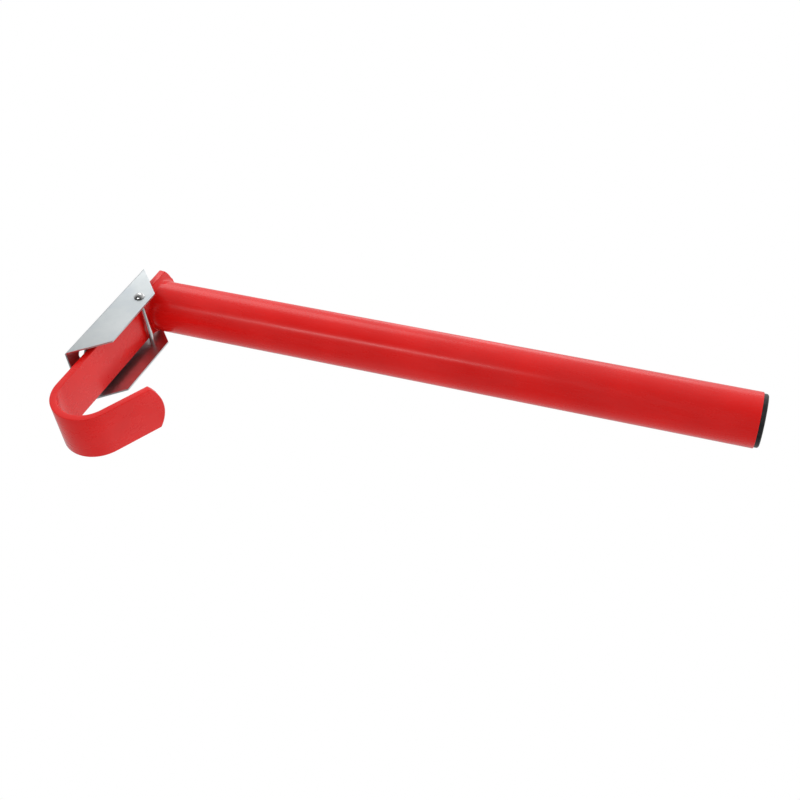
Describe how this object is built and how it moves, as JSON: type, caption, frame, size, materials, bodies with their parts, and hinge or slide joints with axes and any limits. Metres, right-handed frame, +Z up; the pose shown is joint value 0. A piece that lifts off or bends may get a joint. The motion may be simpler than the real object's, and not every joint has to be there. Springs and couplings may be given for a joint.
{
  "type": "folding wall saddle rack",
  "caption": "Plastic-coated tube arm with a bridle hook, held behind a cross pin in a zinc-plated wall channel.",
  "frame": {"origin": "on the wall face, at the middle of the wall channel's back", "axes": "+X out of the wall along the saddle tube, +Z up, +Y to the left of someone facing the wall"},
  "size_m": [0.5116, 0.0596, 0.226],
  "materials": {
    "zinc_sheet": "bright zinc plate",
    "bright_pin": "bright plated",
    "bare_steel": "mill finish",
    "weld_steel": "as welded",
    "red_coating": "glossy dipped plastic",
    "black_plug": "satin moulded plastic"
  },
  "bodies": {
    "bracket": {"wall_channel": "zinc_sheet"},
    "pin": {"pivot_pin": "bright_pin"},
    "arm": {"hook_bar": "bare_steel", "saddle_tube": "bare_steel", "weld_bead": "weld_steel", "plastic_coating": "red_coating", "end_plug": "black_plug"}
  },
  "joints": [
    {"name": "arm_rock", "type": "hinge", "parent": "bracket", "child": "pin", "pos_m": [0.018, 0, 0.023], "axis": [0, 1, 0], "range_deg": [0, 4.5]},
    {"name": "arm_lift", "type": "slide", "parent": "pin", "child": "arm", "axis": [0, 0, 1], "range_m": [0, 0.109]}
  ]
}
